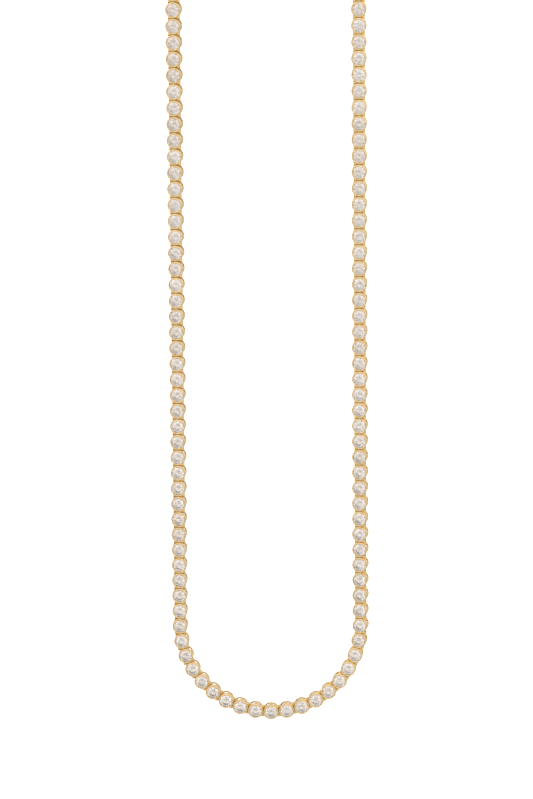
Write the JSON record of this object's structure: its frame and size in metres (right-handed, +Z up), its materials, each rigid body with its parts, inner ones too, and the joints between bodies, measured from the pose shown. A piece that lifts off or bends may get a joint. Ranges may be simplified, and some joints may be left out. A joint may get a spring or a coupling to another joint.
{
  "type": "riviere necklace",
  "caption": "Riviere necklace: a closed row of round gold bezel links, each set with a brilliant-cut clear stone, joined by pin hinges and closed by a plain clasp.",
  "frame": {"origin": "where the necklace hangs: the middle of the clasp's inner side, at the top of the loop", "axes": "+Z up along the hanging loop, stones facing -Y, +X to the right as seen from the front"},
  "size_m": [0.0485, 0.0036, 0.206],
  "materials": {
    "yellow_gold": "polished 14 carat yellow gold",
    "clear_stone": "polished facets of a colourless stone"
  },
  "bodies": {
    "root": {"links_left": "yellow_gold", "links_right": "yellow_gold", "clasp": "yellow_gold", "stones_left": "clear_stone", "stones_right": "clear_stone"}
  },
  "joints": []
}
